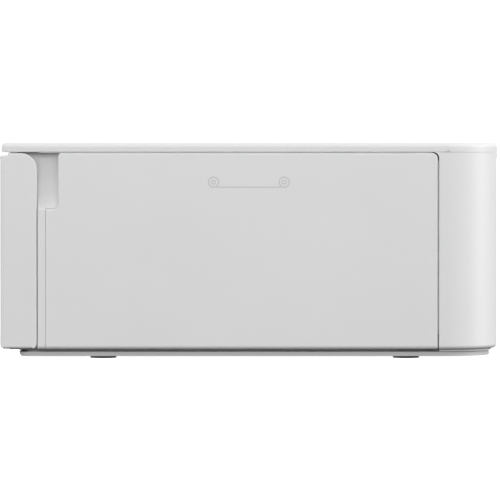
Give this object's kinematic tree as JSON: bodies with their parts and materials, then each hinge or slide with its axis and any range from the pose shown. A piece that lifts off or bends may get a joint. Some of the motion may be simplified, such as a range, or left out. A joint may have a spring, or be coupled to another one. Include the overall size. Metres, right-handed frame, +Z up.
{
  "type": "compact photo printer",
  "caption": "Flat desktop dye-transfer photo printer with a drop-down front cover, a side door over its ribbon cassette, a top control panel and a paper slot at the rear.",
  "frame": {"origin": "on the ground under the middle of the case", "axes": "+X to the machine's right side, where the ink door is; -Y to its front; +Z up"},
  "size_m": [0.1822, 0.133, 0.0576],
  "materials": {
    "case_white": "fine matt",
    "soft_grey": "matt",
    "inner_dark": "matt",
    "gear_plastic": "satin",
    "cassette_plastic": "satin",
    "window": "gloss",
    "display": "gloss",
    "sheet_steel": "zinc plated",
    "bright_steel": "ground",
    "motor_can": "satin",
    "brass": "satin",
    "heat_sink": "extruded",
    "head_ceramic": "smooth",
    "roller_rubber": "matt",
    "foot_rubber": "matt",
    "board_green": "lacquered",
    "ribbon_film": "gloss film",
    "button_grey": "satin"
  },
  "bodies": {
    "chassis": {"base_tray": "case_white", "rubber_feet": "foot_rubber", "housing_shell": "case_white", "front_bezel": "soft_grey", "top_plate": "case_white", "screen_window": "window", "lcd_module": "display", "front_cover_pins": "bright_steel", "ink_door_pins": "bright_steel", "button_board": "board_green", "main_board": "board_green", "card_socket": "sheet_steel", "power_inlet": "inner_dark", "chassis_frame": "sheet_steel", "bay_liner": "inner_dark", "paper_guide": "inner_dark", "head_lift_motor": "motor_can", "feed_motor": "motor_can", "pickup_motor": "motor_can", "ribbon_motor": "motor_can", "gear_bracket": "sheet_steel", "fan_frame": "inner_dark", "case_screws": "bright_steel"},
    "front_cover": {"front_cover": "case_white"},
    "ink_door": {"ink_door": "case_white"},
    "power_key": {"power_button": "button_grey"},
    "menu_key": {"menu_button": "button_grey"},
    "back_key": {"back_button": "button_grey"},
    "ok_key": {"ok_button": "button_grey"},
    "pad_key": {"four_way_pad": "button_grey"},
    "print_key": {"print_button": "button_grey"},
    "cassette": {"ribbon_cassette_shell": "cassette_plastic", "ribbon_web": "ribbon_film"},
    "supply": {"supply_spool": "gear_plastic", "supply_ribbon": "ribbon_film"},
    "takeup": {"takeup_spool": "gear_plastic", "takeup_ribbon": "ribbon_film"},
    "head": {"print_head": "head_ceramic", "head_heat_sink": "heat_sink", "head_bracket": "sheet_steel", "head_pivot_shaft": "bright_steel", "head_sector": "gear_plastic"},
    "lift_rotor": {"head_lift_pinion": "brass"},
    "platen": {"platen_shaft": "bright_steel", "platen_rubber": "roller_rubber"},
    "capstan": {"capstan_roller": "bright_steel", "capstan_gear": "gear_plastic"},
    "pinch": {"pinch_roller": "bright_steel"},
    "reduction": {"reduction_gear": "gear_plastic"},
    "feed_rotor": {"feed_pinion": "brass"},
    "eject": {"eject_shaft": "bright_steel", "eject_rubbers": "roller_rubber", "eject_gear": "gear_plastic"},
    "idler": {"eject_idler": "gear_plastic"},
    "pickup": {"pickup_shaft": "gear_plastic", "pickup_rubber": "roller_rubber"},
    "pickup_rotor": {"pickup_pinion": "brass"},
    "ribbon_rotor": {"ribbon_pinion": "brass"},
    "takeup_drive": {"takeup_drive_gear": "gear_plastic"},
    "fan": {"fan_rotor": "inner_dark"}
  },
  "joints": [
    {"name": "front_cover_hinge", "type": "hinge", "parent": "chassis", "child": "front_cover", "pos_m": [0, -0.0632, 0.0038], "axis": [1, 0, 0], "range_deg": [0, 90]},
    {"name": "ink_door_hinge", "type": "hinge", "parent": "chassis", "child": "ink_door", "pos_m": [0.089, 0.0447, 0.028], "axis": [0, 0, 1], "range_deg": [0, 100]},
    {"name": "power_press", "type": "slide", "parent": "chassis", "child": "power_key", "axis": [0, 0, 1], "range_m": [-0.0006, 0], "stiffness_N_per_m": 300, "springref_m": 0.0005},
    {"name": "menu_press", "type": "slide", "parent": "chassis", "child": "menu_key", "axis": [0, 0, 1], "range_m": [-0.0006, 0], "stiffness_N_per_m": 300, "springref_m": 0.0005},
    {"name": "back_press", "type": "slide", "parent": "chassis", "child": "back_key", "axis": [0, 0, 1], "range_m": [-0.0006, 0], "stiffness_N_per_m": 300, "springref_m": 0.0005},
    {"name": "ok_press", "type": "slide", "parent": "chassis", "child": "ok_key", "axis": [0, 0, 1], "range_m": [-0.0006, 0], "stiffness_N_per_m": 300, "springref_m": 0.0005},
    {"name": "pad_press", "type": "slide", "parent": "chassis", "child": "pad_key", "axis": [0, 0, 1], "range_m": [-0.0006, 0], "stiffness_N_per_m": 300, "springref_m": 0.0005},
    {"name": "print_press", "type": "slide", "parent": "chassis", "child": "print_key", "axis": [0, 0, 1], "range_m": [-0.0006, 0], "stiffness_N_per_m": 300, "springref_m": 0.0005},
    {"name": "cassette_slide", "type": "slide", "parent": "chassis", "child": "cassette", "axis": [1, 0, 0], "range_m": [0, 0.0026]},
    {"name": "supply_spin", "type": "hinge", "parent": "cassette", "child": "supply", "pos_m": [0, -0.02, 0.0363], "axis": [1, 0, 0], "continuous": true},
    {"name": "takeup_spin", "type": "hinge", "parent": "cassette", "child": "takeup", "pos_m": [0, 0.028, 0.0363], "axis": [1, 0, 0], "continuous": true},
    {"name": "takeup_drive_spin", "type": "hinge", "parent": "chassis", "child": "takeup_drive", "pos_m": [0, 0.028, 0.0363], "axis": [1, 0, 0], "continuous": true},
    {"name": "ribbon_motor_spin", "type": "hinge", "parent": "chassis", "child": "ribbon_rotor", "pos_m": [0, 0.01525, 0.03972], "axis": [1, 0, 0], "continuous": true},
    {"name": "head_tilt", "type": "hinge", "parent": "chassis", "child": "head", "pos_m": [0, 0.044, 0.0455], "axis": [1, 0, 0], "range_deg": [0, 4.73]},
    {"name": "lift_motor_spin", "type": "hinge", "parent": "chassis", "child": "lift_rotor", "pos_m": [0, 0.05788, 0.02895], "axis": [1, 0, 0], "range_deg": [-24, 0.5]},
    {"name": "platen_spin", "type": "hinge", "parent": "chassis", "child": "platen", "pos_m": [0, 0.0056, 0.019], "axis": [1, 0, 0], "continuous": true},
    {"name": "capstan_spin", "type": "hinge", "parent": "chassis", "child": "capstan", "pos_m": [0, 0.046, 0.0205], "axis": [1, 0, 0], "continuous": true},
    {"name": "pinch_spin", "type": "hinge", "parent": "chassis", "child": "pinch", "pos_m": [0, 0.046, 0.02785], "axis": [1, 0, 0], "continuous": true},
    {"name": "reduction_spin", "type": "hinge", "parent": "chassis", "child": "reduction", "pos_m": [0, 0.03004, 0.0177], "axis": [1, 0, 0], "continuous": true},
    {"name": "feed_motor_spin", "type": "hinge", "parent": "chassis", "child": "feed_rotor", "pos_m": [0, 0.01444, 0.0177], "axis": [1, 0, 0], "continuous": true},
    {"name": "eject_spin", "type": "hinge", "parent": "chassis", "child": "eject", "pos_m": [0, -0.038, 0.021], "axis": [1, 0, 0], "continuous": true},
    {"name": "eject_idler_spin", "type": "hinge", "parent": "chassis", "child": "idler", "pos_m": [0, -0.038, 0.0266], "axis": [1, 0, 0], "continuous": true},
    {"name": "pickup_spin", "type": "hinge", "parent": "chassis", "child": "pickup", "pos_m": [0, -0.02123, 0.02], "axis": [1, 0, 0], "continuous": true},
    {"name": "pickup_motor_spin", "type": "hinge", "parent": "chassis", "child": "pickup_rotor", "pos_m": [0, -0.038, 0.0354], "axis": [1, 0, 0], "continuous": true},
    {"name": "fan_spin", "type": "hinge", "parent": "chassis", "child": "fan", "pos_m": [0, 0.057, 0.0404], "axis": [0, 1, 0], "continuous": true}
  ],
  "couplings": [
    {"joint": "reduction_spin", "follows": "capstan_spin", "ratio": -2.8571},
    {"joint": "feed_motor_spin", "follows": "capstan_spin", "ratio": 9.5238},
    {"joint": "pinch_spin", "follows": "capstan_spin", "ratio": -0.97222},
    {"joint": "platen_spin", "follows": "capstan_spin", "ratio": 0.7},
    {"joint": "pickup_spin", "follows": "eject_spin", "ratio": -1.8},
    {"joint": "pickup_motor_spin", "follows": "eject_spin", "ratio": -3},
    {"joint": "eject_idler_spin", "follows": "eject_spin", "ratio": -1.2766},
    {"joint": "takeup_drive_spin", "follows": "takeup_spin", "ratio": 1},
    {"joint": "ribbon_motor_spin", "follows": "takeup_spin", "ratio": -2.6667},
    {"joint": "supply_spin", "follows": "takeup_spin", "ratio": 0.66667},
    {"joint": "lift_motor_spin", "follows": "head_tilt", "ratio": -5}
  ]
}
